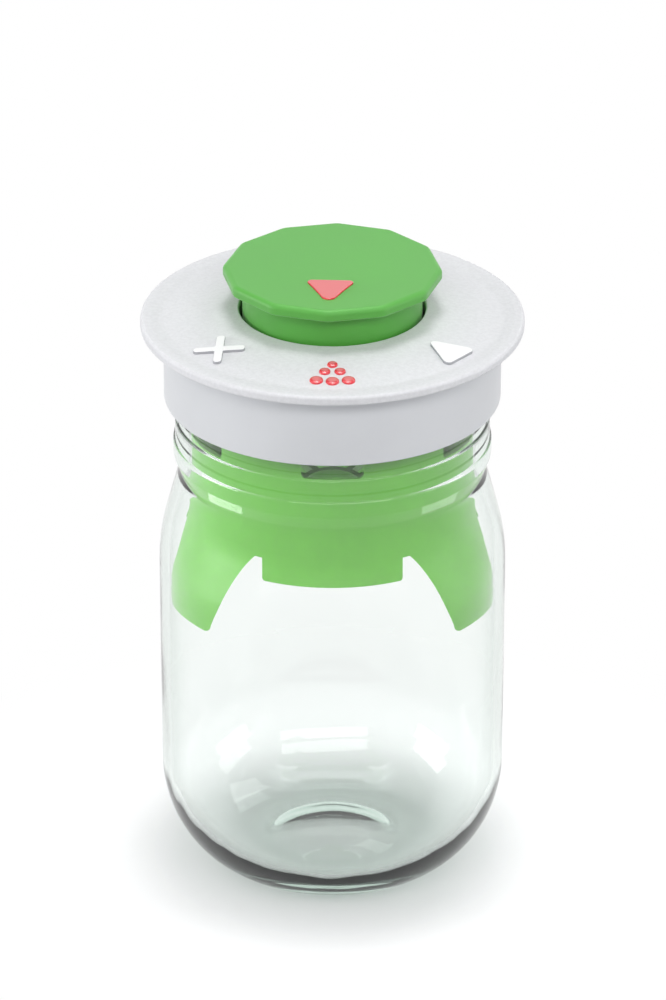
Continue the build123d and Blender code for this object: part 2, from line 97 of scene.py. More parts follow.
class GlassSettings(bpy.types.PropertyGroup):
    """Sizes and colour of the glass jar"""

    body_radius: length("Body radius", "Outside of the jar's straight body", GLASS_BOX[1].x)
    height: length("Height", "From the foot to the rim", GLASS_BOX[1].z)
    wall: length("Wall", "Thickness of the body", 3 * MM)
    base_thickness: length("Base thickness", "Inside floor over the standing face", 5.5 * MM)
    push_up: length("Push-up", "Hollow in the middle of the base", 2.5 * MM)
    foot_width: length("Foot width", "Standing ring round the push-up", 3 * MM)
    heel_width: length("Heel width", "How far the heel curves in", 27 * MM)
    heel_height: length("Heel height", "How far up the heel curves", 32.5 * MM)
    shoulder_angle: angle("Shoulder angle", "Lean of the shoulder", 15.6)
    shoulder_bend: length("Shoulder bend", "Rounding between body and shoulder", 60 * MM)
    neck_height: length("Neck height", "From the groove over the shoulder to the rim", 38.8 * MM)
    neck_radius: length("Neck radius", "Outside of the threaded neck", 45.4 * MM)
    neck_wall: length("Neck wall", "Thickness of the neck", 3.2 * MM)
    groove_depth: length("Groove depth", "Groove between shoulder and lower bead", 0.8 * MM)
    groove_bend: length("Groove bend", "Rounding of that groove", 2.5 * MM)
    lower_bead_depth: length("Lower bead depth", "How far the lower bead stands out", 1.1 * MM)
    lower_bead_foot: length("Lower bead foot", "Foot of that bead over the groove", 4.8 * MM)
    lower_bead_top: length("Lower bead top", "Upper edge of that bead over the groove", 9 * MM)
    upper_bead_depth: length("Upper bead depth", "How far the upper bead stands out", 0.5 * MM)
    upper_bead_top: length("Upper bead top", "Upper edge of that bead over the groove", 15.9 * MM)
    bead_rounding: length("Bead rounding", "Rounding of the beads' upper edges", 1.6 * MM)
    bead_slope: angle("Bead slope", "Lean of the beads' upper flanks", 45)
    rim_rounding: length("Rim rounding", "Rounding of the rim's edges", 1 * MM)
    steps: IntProperty(name="Steps", description="Faces round the jar", default=160, min=48)
    # Painted shade: the glass's Base Color goes to this darker colour where its faces turn away from view
    edge: colour("Edge", "Colour of the glass where it turns away", (0.74, 0.79, 0.76))
    tint: colour("Tint", "What thick glass does to white light", (0.62, 0.8, 0.71))
    density: FloatProperty(name="Density", description="How soon the tint shows, per metre", default=34)


class ThreadSettings(bpy.types.PropertyGroup):
    """Thread between neck and cap, in like starts, so that a turn by one start meets the next"""

    starts: IntProperty(name="Starts", description="Thread ridges round the neck", default=3, min=1)
    lead: length("Lead", "Rise in one whole turn", 9 * MM)
    span: angle("Span", "Angle that one ridge takes", 108)
    fade: angle("Fade", "Angle in which a ridge's ends run out", 14)
    depth: length("Depth", "How far the ridges stand out", 1.3 * MM)
    width: length("Width", "Width of a ridge at its root", 2.5 * MM)
    crest: length("Crest", "Width of a ridge at its crest", 1.1 * MM)
    rounding: length("Rounding", "Rounding of a ridge's crest", 0.35 * MM)
    rise: length("Rise", "Start of the neck's ridges under the rim", 8 * MM)
    play: length("Play", "Gap between the ridges of cap and neck", 0.3 * MM)


class LidSettings(bpy.types.PropertyGroup):
    """Signs and colours of the cap and its dial"""

    skirt_inside: length("Skirt inside", "Radius inside the cap's skirt", 47.05 * MM)
    dial_hole: length("Dial hole", "Radius of the hole round the knob", 27 * MM)
    dial_rise: length("Dial rise", "How far the dial rises from its edge to the hole", 2.75 * MM)
    valley_radius: length("Valley radius", "Radius of the dial's shallow valley", 49.35 * MM)
    valley_depth: length("Valley depth", "Valley under the dial's edge", 0.35 * MM)
    dial_edge: length("Dial edge", "Thickness at the dial's edge", 4.3 * MM)
    sign_angle: angle("Sign angle", "From the front to the closed and open signs", 50.8)
    sign_height: length("Sign height", "How far the signs stand out", 0.8 * MM)
    sign_rounding: length("Sign rounding", "Rounding of the signs' edges", 0.16 * MM)
    sign_sink: length("Sign sink", "How deep the signs and dots reach into the dial", 0.3 * MM)
    dot_height: length("Dot height", "Height of a dot's side, from its sunk foot", 0.75 * MM)
    dot_dome: length("Dot dome", "Rise of a dot's middle over its side", 0.28 * MM)
    dot_rounding: length("Dot rounding", "Rounding of a dot's edges", 0.3 * MM)
    cross_radius: length("Cross radius", "Middle of the closed sign", 41.65 * MM)
    cross_turn: angle("Cross turn", "From the radius to its bars", 46.9)
    cross_length: length("Cross length", "Length of its two bars", 14.8 * MM)
    cross_width: length("Cross width", "Width of its two bars", 2.5 * MM)
    open_apex: length("Open sign's apex", "Radius of the open sign's inner corner", 34.9 * MM)
    open_base: length("Open sign's base", "Radius of the open sign's outer side", 47.5 * MM)
    open_width: length("Open sign's width", "Width of its outer side", 13.8 * MM)
    open_rounding: length("Open sign's rounding", "Rounding of its corners", 1.5 * MM)
    cap_colour: colour("Cap", "Colour of the cap", (0.70, 0.715, 0.74))
    dial_colour: colour("Dial", "Colour of the grained dial", (0.76, 0.765, 0.79))
    sign_colour: colour("Signs", "Colour of the tops of the closed and open signs", (0.96, 0.96, 0.97))
    # Painted shade: the signs' sides are given this dark grey in place of the shade that falls on them
    sign_painted_shade: colour("Sign sides", "Colour of those signs' sides", (0.42, 0.425, 0.45))
    grain: length("Grain", "Size of the dial's grain", 0.55 * MM)


class GreenSettings(bpy.types.PropertyGroup):
    """Colours of the knob, its pointer and the press"""

    knob_colour: colour("Knob", "Colour of the knob", (0.1, 0.42, 0.058))
    press_colour: colour("Press", "Colour of the press", (0.165, 0.55, 0.055))
    red: colour("Red", "Colour of the sides of the pointer and the dots", (0.8, 0.03, 0.045))
    # Painted highlight: the dots' tops are given this lighter pink in place of the gloss that lights them
    dot_painted_highlight: colour("Pink", "Colour of the dots' tops", (0.84, 0.2, 0.22))
    # Painted highlight: the pointer's top is given this lighter red in place of the gloss that lights it
    pointer_painted_highlight: colour("Pointer's top", "Colour of the pointer's top", (0.78, 0.12, 0.13))


class StudioSettings(bpy.types.PropertyGroup):
    """Camera, lamps and floor"""

    focus: FloatProperty(name="Focus", description="Focal length in pixels of the picture", default=5729.94)
    pitch: angle("Pitch", "How far the camera looks down", 26.63)
    distance: length("Distance", "From the camera to the point that it looks at", 1.68197)
    aim_height: length("Aim height", "Height of that point on the jar's axis", 0.11656)
    axis_pixel: FloatProperty(name="Axis pixel", description="Column of the jar's axis", default=332.4)
    fill: FloatProperty(name="Fill", description="Light from the sky, strongest half way up", default=0.57)
    key: FloatProperty(name="Key", description="Watts of the lamp overhead", default=4)
    front: FloatProperty(name="Front", description="Watts of the wide lamp in front", default=6.6)
    left: FloatProperty(name="Left", description="Watts of the lamp on the left", default=4.2)
    right: FloatProperty(name="Right", description="Watts of the lamp on the right", default=2)
    back: FloatProperty(name="Back", description="Watts of the lamp behind on the right", default=1.7)
    floor_colour: colour("Floor", "Colour of the floor", (0.7, 0.7, 0.71))
    floor_glow: share("Floor glow", "Share of the floor's white that is its own light", 0.4)
    # Painted shadow: ambient occlusion within this reach darkens the floor's own glow near the foot and the
    # heel
    painted_shadow_reach: length("Contact", "How far the foot and the heel darken the floor", 22 * MM)
    shadow_start: length("Shadow start", "Radius within which the floor shows its shadow", 60 * MM)
    shadow_end: length("Shadow end", "Radius past which it is as white as the backdrop", 140 * MM)


class JarSettings(bpy.types.PropertyGroup):
    """All settings of the jar"""

    glass: PointerProperty(type=GlassSettings)
    thread: PointerProperty(type=ThreadSettings)
    lid: PointerProperty(type=LidSettings)
    green: PointerProperty(type=GreenSettings)
    studio: PointerProperty(type=StudioSettings)


class Wire:
    """An output of a shader node. Plain arithmetic on it adds Math nodes."""

    def __init__(self, shading, socket):
        self.shading = shading
        self.socket = socket

    def output(self, name):
        """Another output of the same node."""
        return Wire(self.shading, self.socket.node.outputs[name])

    def maths(self, operation, *values, clamp=False):
        """This wire and up to two more values through one Math node."""
        settings = {"operation": operation, "use_clamp": clamp}
        return self.shading.add("ShaderNodeMath", settings, dict(enumerate((self, *values))))

    def __add__(self, other):
        return self.maths("ADD", other)

    def __radd__(self, other):
        return self.maths("ADD", other)

    def __sub__(self, other):
        return self.maths("SUBTRACT", other)

    def __rsub__(self, other):
        return self.shading.add("ShaderNodeMath", {"operation": "SUBTRACT"}, {0: other, 1: self})

    def __mul__(self, other):
        return self.maths("MULTIPLY", other)

    def __rmul__(self, other):
        return self.maths("MULTIPLY", other)

    def between(self, low, high):
        """0 under low, 1 over high, and a smooth step from one to the other."""
        settings = {"interpolation_type": "SMOOTHSTEP"}
        return self.shading.add("ShaderNodeMapRange", settings, {"Value": self, 1: low, 2: high})


class Shading:
    """The node tree of one material or world, emptied, with one method that adds any node."""

    def __init__(self, owner):
        owner.use_nodes = True
        self.owner = owner
        self.tree = owner.node_tree
        self.tree.nodes.clear()

    def add(self, kind, settings=None, sockets=None):
        """Adds a node of that type: its settings first, then values or wires for its sockets."""
        node = self.tree.nodes.new(kind)
        for name, value in (settings or {}).items():
            setattr(node, name, value)
        for name, value in (sockets or {}).items():
            if isinstance(value, Wire):
                self.tree.links.new(value.socket, node.inputs[name])
            elif node.inputs[name].type == "RGBA" and len(value) == 3:
                node.inputs[name].default_value = (*value, 1)
            else:
                node.inputs[name].default_value = value
        return Wire(self, node.outputs[0]) if node.outputs else None

    def place(self, stretch=(1, 1, 1)):
        """Object coordinates in metres, stretched along the axes."""
        coordinates = self.add("ShaderNodeTexCoord").output("Object")
        return self.add("ShaderNodeMapping", {}, {"Vector": coordinates, "Scale": stretch})

    def noise(self, size, detail=2, roughness=0.5, stretch=(1, 1, 1)):
        """Noise with features of about that size in metres, from 0 to 1."""
        sockets = {
            "Vector": self.place(stretch),
            "Scale": 1 / size,
            "Detail": detail,
            "Roughness": roughness,
        }
        return self.add("ShaderNodeTexNoise", {}, sockets)

    def tinted(self, factor, low, high):
        """A colour from low to high by the factor."""
        settings = {"data_type": "RGBA", "clamp_factor": True}
        mixed = self.add("ShaderNodeMix", settings, {0: factor, 6: low, 7: high})
        return Wire(self, mixed.socket.node.outputs[2])

    def bump(self, height, depth):
        """A normal raised by height, from 0 to 1, times depth in metres."""
        return self.add("ShaderNodeBump", {}, {"Height": height, "Distance": depth, "Strength": 1})

    def surface(self, **sockets):
        """A Principled shader. Underscores in its sockets' names stand for spaces."""
        named = {name.replace("_", " "): value for name, value in sockets.items()}
        return self.add("ShaderNodeBsdfPrincipled", {}, named)

    def finish(self, surface, volume=None):
        """Joins the shader to the output and gives the material back."""
        sockets = {"Surface": surface} if volume is None else {"Surface": surface, "Volume": volume}
        self.add("ShaderNodeOutputMaterial", {}, sockets)
        return self.owner


def lighter(shade, factor):
    """A colour with each of its parts times the factor."""
    return tuple(min(1, part * factor) for part in shade)


def clear_glass(settings):
    """Clear pressed glass: faint waves in its faces, painted shade on its edges where they turn away, and a
    grey-green tint where it is thick
    """
    shading = Shading(bpy.data.materials.new("clear_glass"))
    # Painted shade: the Facing mask darkens the glass's Base Color towards the edge colour where faces turn
    # away
    turned = shading.add("ShaderNodeLayerWeight", {}, {"Blend": 0.5}).output("Facing")
    waves = shading.noise(16 * MM, detail=1, stretch=(1, 1, 0.45))
    glass = shading.surface(
        Base_Color=shading.tinted(turned.between(0.5, 0.95), (1, 1, 1), tuple(settings.edge)),
        Roughness=0.0,
        IOR=1.5,
        Transmission_Weight=1.0,
        Normal=shading.bump(waves, 0.12 * MM),
    )
    path = shading.add("ShaderNodeLightPath")
    let_through = path.output("Is Shadow Ray") * 0.88
    through = shading.add("ShaderNodeBsdfTransparent", {}, {"Color": (1, 1, 1)})
    mixed = shading.add("ShaderNodeMixShader", {}, {0: let_through, 1: glass, 2: through})
    tint = {"Color": tuple(settings.tint), "Density": settings.density}
    return shading.finish(mixed, shading.add("ShaderNodeVolumeAbsorption", {}, tint))


def moulded_plastic(name, shade, roughness, grain, depth, glow=0.0, sheen=0.0):
    """Moulded plastic with a fine grain, a little uneven in colour and shine"""
    shading = Shading(bpy.data.materials.new(name))
    clouds = shading.noise(22 * MM, detail=3)
    fine = shading.noise(grain, detail=3, roughness=0.6)
    return shading.finish(
        shading.surface(
            Base_Color=shading.tinted(clouds, lighter(shade, 0.95), lighter(shade, 1.04)),
            Roughness=roughness - 0.05 + 0.1 * clouds,
            Subsurface_Weight=glow,
            Subsurface_Radius=(1, 1, 1),
            Subsurface_Scale=1.2 * MM,
            Sheen_Weight=sheen,
            Sheen_Roughness=0.4,
            Normal=shading.bump(fine, depth),
        )
    )


def grained_white(settings):
    """The dial's white plastic, with the even grain of an eroded mould"""
    shading = Shading(bpy.data.materials.new("dial_white"))
    coarse = shading.noise(settings.grain * 2.2, detail=1)
    fine = shading.noise(settings.grain, detail=2, roughness=0.7)
    grain = 0.55 * coarse + 0.45 * fine
    shade = tuple(settings.dial_colour)
    return shading.finish(
        shading.surface(
            Base_Color=shading.tinted(grain.between(0.3, 0.7), lighter(shade, 0.95), lighter(shade, 1.03)),
            Roughness=0.42 + 0.2 * grain,
            Normal=shading.bump(grain, 0.07 * MM),
        )
    )


def two_tone(name, side, top, edge, roughness, coat=0.6):
    """Glossy plastic of a raised sign or button, coloured by which way its faces point: painted shade on the
    sides of the white signs, a painted highlight on the tops of the red dots and pointer
    """
    shading = Shading(bpy.data.materials.new(name))
    normal = shading.add("ShaderNodeNewGeometry").output("True Normal")
    # This mask by face direction carries painted light: shade on the signs' sides, a highlight on the dots'
    # and pointer's tops
    painted_light_mask = shading.add("ShaderNodeSeparateXYZ", {}, {"Vector": normal}).output("Z")
    clouds = shading.noise(2 * MM, detail=1)
    return shading.finish(
        shading.surface(
            Base_Color=shading.tinted((painted_light_mask + 0.02 * clouds).between(*edge), side, top),
            Roughness=roughness + 0.05 * clouds,
            Coat_Weight=coat,
            Coat_Roughness=0.15,
        )
    )


def silicone_rubber():
    """Milky silicone with a soft sheen"""
    shading = Shading(bpy.data.materials.new("silicone"))
    clouds = shading.noise(9 * MM, detail=2)
    return shading.finish(
        shading.surface(
            Base_Color=shading.tinted(clouds, (0.72, 0.73, 0.72), (0.82, 0.83, 0.82)),
            Roughness=0.4 + 0.12 * clouds,
            Subsurface_Weight=0.35,
            Subsurface_Radius=(1, 1, 0.95),
            Subsurface_Scale=1.5 * MM,
            Normal=shading.bump(shading.noise(0.5 * MM), 0.01 * MM),
        )
    )


def black_rubber():
    """Black sealing rubber, dusty where it has been touched"""
    shading = Shading(bpy.data.materials.new("black_rubber"))
    dust = shading.noise(1.2 * MM, detail=3)
    return shading.finish(
        shading.surface(
            Base_Color=shading.tinted(dust, (0.018, 0.018, 0.018), (0.05, 0.05, 0.05)),
            Roughness=0.45 + 0.25 * dust,
            Normal=shading.bump(dust, 0.01 * MM),
        )
    )


def rolled_steel():
    """Spring steel with fine rolling marks along X"""
    shading = Shading(bpy.data.materials.new("washer_steel"))
    marks = shading.noise(0.25 * MM, detail=2, stretch=(0.05, 1, 1))
    return shading.finish(
        shading.surface(
            Base_Color=shading.tinted(marks, (0.48, 0.48, 0.49), (0.62, 0.62, 0.63)),
            Metallic=1.0,
            Roughness=0.22 + 0.18 * marks,
            Normal=shading.bump(marks, 0.004 * MM),
        )
    )


def deselect_everything():
    """Leaves object mode, and nothing selected or active."""
    if bpy.context.mode != "OBJECT":
        bpy.ops.object.mode_set(mode="OBJECT")
    bpy.ops.object.select_all(action="DESELECT")
    bpy.context.view_layer.objects.active = None


def take(piece):
    """Makes the piece the only selected one, and active."""
    deselect_everything()
    piece.select_set(True)
    bpy.context.view_layer.objects.active = piece
    return piece


def named(name):
    """Names the piece that was just added."""
    piece = bpy.context.active_object
    piece.name = name
    piece.data.name = name
    return piece


def rounded(corners, step=radians(8)):
    """Points of a line through (x, y, rounding) corners, each turned into an arc of short runs."""
    points = [Vector(corners[0][:2])]
    for before, corner, after in zip(corners, corners[1:], corners[2:]):
        middle = Vector(corner[:2])
        back = (Vector(before[:2]) - middle).normalized()
        ahead = (Vector(after[:2]) - middle).normalized()
        bend = pi - back.angle(ahead)
        if corner[2] == 0 or bend < 1e-6:
            points.append(middle)
            continue
        reach = corner[2] * tan(bend / 2)
        centre = middle + (back + ahead).normalized() * corner[2] / cos(bend / 2)
        start = middle + back * reach - centre
        runs = max(2, round(bend / step))
        side = 1 if back.cross(ahead) < 0 else -1
        for run in range(runs + 1):
            points.append(centre + Matrix.Rotation(side * bend * run / runs, 2) @ start)
    points.append(Vector(corners[-1][:2]))
    return points


def draw_line(name, points, close=False):
    """A mesh line through (x, z) points: one vertex, extruded from point to point."""
    deselect_everything()
    bpy.ops.mesh.primitive_plane_add(size=MM)
    piece = named(name)
    bpy.ops.object.mode_set(mode="EDIT")
    bpy.ops.mesh.merge(type="CENTER")
    bpy.ops.transform.translate(value=(points[0][0], 0, points[0][1]))
    for before, point in zip(points, points[1:]):
        step = (point[0] - before[0], 0, point[1] - before[1])
        bpy.ops.mesh.extrude_region_move(TRANSFORM_OT_translate={"value": step})
    bpy.ops.mesh.select_all(action="SELECT")
    if close:
        bpy.ops.mesh.edge_face_add()
    return piece


def clean_shell():
    """In edit mode: merges doubles, and turns all faces outwards."""
    bpy.ops.mesh.select_all(action="SELECT")
    bpy.ops.mesh.remove_doubles(threshold=MM / 1000)
    bpy.ops.mesh.normals_make_consistent(inside=False)
    bpy.ops.object.mode_set(mode="OBJECT")


def apply_modifier(piece, kind, **settings):
    """Adds one modifier to the piece and applies it."""
    take(piece)
    modifier = piece.modifiers.new(kind.title(), kind)
    for name, value in settings.items():
        setattr(modifier, name, value)
    bpy.ops.object.modifier_apply(modifier=modifier.name)


def smooth(piece, degrees):
    """Smooth shading, with an edge where faces meet at more than that angle."""
    take(piece)
    bpy.ops.object.shade_smooth_by_angle(angle=radians(degrees))


def reshape(piece, rule):
    """Moves each vertex of the piece to where the rule puts its place."""
    for vertex in piece.data.vertices:
        vertex.co = rule(vertex.co)
    piece.data.update()


def merged_copy(node, name):
    """A copy of a CAD node's mesh whose loose triangles are joined."""
    copy = bpy.data.objects.new(name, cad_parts[node].data.copy())
    bpy.context.scene.collection.objects.link(copy)
    copy.data.name = name
    take(copy)
    bpy.ops.mesh.customdata_custom_splitnormals_clear()
    bpy.ops.object.mode_set(mode="EDIT")
    bpy.ops.mesh.select_all(action="SELECT")
    bpy.ops.mesh.remove_doubles(threshold=MM / 1000)
    bpy.ops.object.mode_set(mode="OBJECT")
    return copy


def hand_over(piece, body, slot, material, *nodes):
    """Gives a finished piece its material and its body, and hides the CAD nodes that it stands for. The slot
    is not used.
    """
    piece.data.materials.clear()
    piece.data.materials.append(material)
    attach(piece, body)
    if nodes:
        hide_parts(*nodes)


def paint(node, material):
    """Gives a CAD node that stays as it is its finish."""
    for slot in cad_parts[node].material_slots:
        slot.material = material


def glass_outline(glass):
    """Half section of the jar from the middle of the base, up the outside and down the inside."""
    inner = glass.body_radius - glass.wall
    mouth = glass.neck_radius - glass.neck_wall
    foot = glass.body_radius - glass.heel_width
    hollow = foot - glass.foot_width
    groove_radius = glass.neck_radius - glass.groove_depth
    lower_radius = glass.neck_radius + glass.lower_bead_depth
    upper_radius = glass.neck_radius + glass.upper_bead_depth
    groove = glass.height - glass.neck_height
    lower_top = groove + glass.lower_bead_top
    upper_top = groove + glass.upper_bead_top
    lower_flank = (lower_radius - upper_radius) / tan(glass.bead_slope)
    upper_flank = (upper_radius - glass.neck_radius) / tan(glass.bead_slope)
    lean = tan(glass.shoulder_angle)
    slanted_wall = glass.wall / cos(glass.shoulder_angle)
    knee = groove - (glass.body_radius - groove_radius) / lean
    inner_groove = groove - (mouth + slanted_wall - groove_radius) / lean
    inner_knee = groove - (inner + slanted_wall - groove_radius) / lean
    dome_radius = (hollow**2 + glass.push_up**2) / (2 * glass.push_up)
    dome = [hollow * run / DOME_RUNS for run in range(DOME_RUNS + 1)]
    quarter = [radians(90) * run / HEEL_RUNS for run in range(HEEL_RUNS + 1)]
    heel_inside = glass.heel_width - glass.wall
    floor_rise = glass.heel_height - glass.base_thickness
    outside = [
        (glass.body_radius, glass.heel_height, 0),
        (glass.body_radius, (glass.heel_height + knee) / 2, 0),
        (glass.body_radius, knee, glass.shoulder_bend),
        (groove_radius, groove, glass.groove_bend),
        (lower_radius, groove + glass.lower_bead_foot, glass.groove_bend),
        (lower_radius, lower_top, glass.bead_rounding),
        (upper_radius, lower_top + lower_flank, glass.bead_rounding / 4),
        (upper_radius, upper_top, glass.bead_rounding / 2),
        (glass.neck_radius, upper_top + upper_flank, glass.bead_rounding / 4),
        (glass.neck_radius, glass.height, glass.rim_rounding),
        (mouth, glass.height, glass.rim_rounding),
        (mouth, inner_groove, glass.shoulder_bend / 4),
        (inner, inner_knee, glass.shoulder_bend - glass.wall),
        (inner, (glass.heel_height + inner_knee) / 2, 0),
        (inner, glass.heel_height, 0),
    ]
    points = [(x, glass.push_up - dome_radius + sqrt(dome_radius**2 - x**2)) for x in dome]
    points += [
        (foot + glass.heel_width * sin(turn), glass.heel_height * (1 - cos(turn)))
        for turn in quarter[:-1]
    ]
    points += [tuple(point) for point in rounded(outside, step=radians(4))]
    points += [
        (foot + heel_inside * cos(turn), glass.heel_height - floor_rise * sin(turn))
        for turn in quarter[1:]
    ]
    points.append((foot / 2, glass.base_thickness))
    points.append((0, glass.base_thickness))
    return points


def thread_ridges(name, thread, root, crest, start_height, steps=56):
    """Closed ridges that climb round the axis, with ends that run out into their root."""
    half_root = thread.width / 2
    half_crest = thread.crest / 2
    section = [
        (root, -half_root, 0),
        (crest, -half_crest, thread.rounding),
        (crest, half_crest, thread.rounding),
        (root, half_root, 0),
    ]
    ridge = draw_line(name, rounded(section, step=radians(20)), close=True)
    bpy.ops.mesh.spin(steps=steps, angle=-thread.span, center=(0, 0, 0), axis=(0, 0, 1))
    clean_shell()

    def climbing(place):
        turn = (Vector(place.xy).angle_signed(Vector((1, 0)))) % tau
        turn = 0 if turn > tau - 0.1 else turn
        end = min(1, turn / thread.fade, (thread.span - turn) / thread.fade)
        ramp = sin(max(0, end) * pi / 2)
        radius = root + (place.xy.length - root) * ramp
        lift = start_height + thread.lead * turn / tau
        return Vector((radius * cos(turn), radius * sin(turn), place.z + lift))

    reshape(ridge, climbing)
    ridges = [ridge]
    for start in range(1, thread.starts):
        other = ridge.copy()
        other.data = ridge.data.copy()
        bpy.context.scene.collection.objects.link(other)
        other.data.transform(Matrix.Rotation(start * tau / thread.starts, 4, "Z"))
        ridges.append(other)
    deselect_everything()
    for other in ridges:
        other.select_set(True)
    bpy.context.view_layer.objects.active = ridge
    bpy.ops.object.join()
    return ridge


def weld_on(piece, addition):
    """Unites the piece with the addition, which goes."""
    apply_modifier(piece, "BOOLEAN", operation="UNION", solver="MANIFOLD", object=addition)
    bpy.data.objects.remove(addition)


class JAR_OT_stage(bpy.types.Operator):
    """Sets the camera, the pale floor, the white surroundings and the soft lamps"""

    bl_idname = "jar.stage"
    bl_label = "Stage"

    def execute(self, context):
        studio = context.scene.fermentation_jar.studio
        context.scene.view_settings.view_transform = "Standard"
        self.camera(context, studio)
        self.floor(studio)
        self.surroundings(context, studio)
        self.lamp("key_lamp", (0, 0.05, 1.25), (0.3, 0.3), studio.key)
        self.lamp("front_lamp", (0.13, -0.95, 0.92), (1.5, 0.3), studio.front)
        self.lamp("left_lamp", (-1, -0.1, 0.3), (0.6, 0.3), studio.left)
        self.lamp("right_lamp", (1, -0.1, 0.3), (0.6, 0.3), studio.right)
        self.lamp("back_lamp", (0.6, 0.7, 1), (0.5, 0.4), studio.back)
        return {"FINISHED"}

    def camera(self, context, studio):
        """Looks at the jar's axis from the photograph's side, height and distance."""
        back = studio.distance * cos(studio.pitch)
        up = studio.aim_height + studio.distance * sin(studio.pitch)
        deselect_everything()
        bpy.ops.object.camera_add(location=(0, -back, up), rotation=(radians(90) - studio.pitch, 0, 0))
        camera = named("camera")
        camera.data.sensor_width = 36
        camera.data.lens = studio.focus * camera.data.sensor_width / FRAME_PIXELS
        camera.data.shift_x = (FRAME_MIDDLE - studio.axis_pixel) / FRAME_PIXELS
        context.scene.camera = camera

    def floor(self, studio):
        """A wide disc: near the jar its diffuse part keeps the real shadow and its glow a painted contact
        shadow, and further out it is the white of the backdrop.
        """
        deselect_everything()
        bpy.ops.mesh.primitive_circle_add(vertices=96, radius=8, fill_type="NGON")
        floor = named("floor")
        shading = Shading(bpy.data.materials.new("pale_floor"))
        away = shading.add("ShaderNodeVectorMath", {"operation": "LENGTH"}, {0: shading.place()})
        away = away.output("Value")
        path = shading.add("ShaderNodeLightPath")
        seen = path.output("Is Camera Ray").maths("MAXIMUM", path.output("Is Glossy Ray"))
        seen = seen.maths("MAXIMUM", path.output("Is Transmission Ray"))
        seen = seen * (1 - path.output("Diffuse Depth").maths("MINIMUM", 1))
        cast = shading.add("ShaderNodeBsdfDiffuse", {}, {"Color": tuple(studio.floor_colour)})
        # Painted shadow: ambient occlusion darkens the floor's glow near the jar; only the diffuse part takes
        # the real shadow
        around = shading.add("ShaderNodeAmbientOcclusion", {"samples": 16}, {"Distance": studio.painted_shadow_reach})
        faded = away.between(studio.shadow_start, studio.shadow_end)
        strength = studio.floor_glow * seen * around.output("AO")
        glow = shading.add("ShaderNodeEmission", {}, {"Color": (1, 1, 1), "Strength": strength})
        near = shading.add("ShaderNodeAddShader", {}, {0: cast, 1: glow})
        white = shading.add("ShaderNodeEmission", {}, {"Color": (1, 1, 1), "Strength": 1})
        shading.finish(shading.add("ShaderNodeMixShader", {}, {0: seen * faded, 1: near, 2: white}))
        floor.data.materials.append(shading.owner)

    def surroundings(self, context, studio):
        """White to the camera, in glass and in gloss, with a dim band high up. Plain light for the rest."""
        world = bpy.data.worlds.new("studio")
        context.scene.world = world
        shading = Shading(world)
        path = shading.add("ShaderNodeLightPath")
        direction = shading.add("ShaderNodeTexCoord").output("Generated")
        height = shading.add("ShaderNodeSeparateXYZ", {}, {"Vector": direction}).output("Z")
        band = height.between(0.55, 0.64) * (1 - height.between(0.82, 0.9))
        overhead = height.between(0.86, 0.92)
        first = 1 - path.output("Diffuse Depth").maths("MINIMUM", 1)
        mirrored = path.output("Is Glossy Ray") * first
        bent = path.output("Is Transmission Ray") * first
        white = path.output("Is Camera Ray").maths("MAXIMUM", bent).maths("MAXIMUM", mirrored)
        sky = studio.fill * height.between(0.2, 0.5) * (1 - 0.73 * height.between(0.65, 0.95))
        strength = sky + (1 - sky) * white + mirrored * (3 * overhead - 0.5 * band)
        strength = strength - 0.2 * bent * height.between(0.42, 0.6)
        back = shading.add("ShaderNodeBackground", {}, {"Color": (1, 1, 1), "Strength": strength})
        shading.add("ShaderNodeOutputWorld", {}, {"Surface": back})

    def lamp(self, name, place, size, watts):
        """A soft rectangular lamp that faces the cap and that the camera doesn't see."""
        deselect_everything()
        facing = (Vector((0, 0, 0.15)) - Vector(place)).to_track_quat("-Z", "Y").to_euler()
        bpy.ops.object.light_add(type="AREA", location=place, rotation=facing)
        lamp = named(name)
        lamp.data.shape = "RECTANGLE"
        lamp.data.size, lamp.data.size_y = size
        lamp.data.energy = watts
        lamp.visible_camera = False


class JAR_OT_glass(bpy.types.Operator):
    """Turns the glass jar from its half section and adds the ridges of its thread"""

    bl_idname = "jar.glass"
    bl_label = "Glass jar"

    def execute(self, context):
        settings = context.scene.fermentation_jar
        glass = settings.glass
        thread = settings.thread
        jar = draw_line("jar_glass", glass_outline(glass))
        bpy.ops.mesh.spin(steps=glass.steps, angle=tau, center=(0, 0, 0), axis=(0, 0, 1))
        clean_shell()
        root = glass.neck_radius - thread.play
        crest = glass.neck_radius + thread.depth
        ridges = thread_ridges("neck_ridges", thread, root, crest, glass.height - thread.rise)
        weld_on(jar, ridges)
        smooth(jar, 35)
        hand_over(jar, "jar", "clear_glass", clear_glass(glass), "glass_jar")
        return {"FINISHED"}


class JAR_OT_press(bpy.types.Operator):
    """Gives the press ring and its grate their green finish"""

    bl_idname = "jar.press"
    bl_label = "Press"

    def execute(self, context):
        shade = tuple(context.scene.fermentation_jar.green.press_colour)
        green = moulded_plastic(
            "press_green", shade, roughness=0.4, grain=0.8 * MM, depth=0.006 * MM, glow=0.15
        )
        paint("press_ring", green)
        paint("press_grate", green)
        return {"FINISHED"}


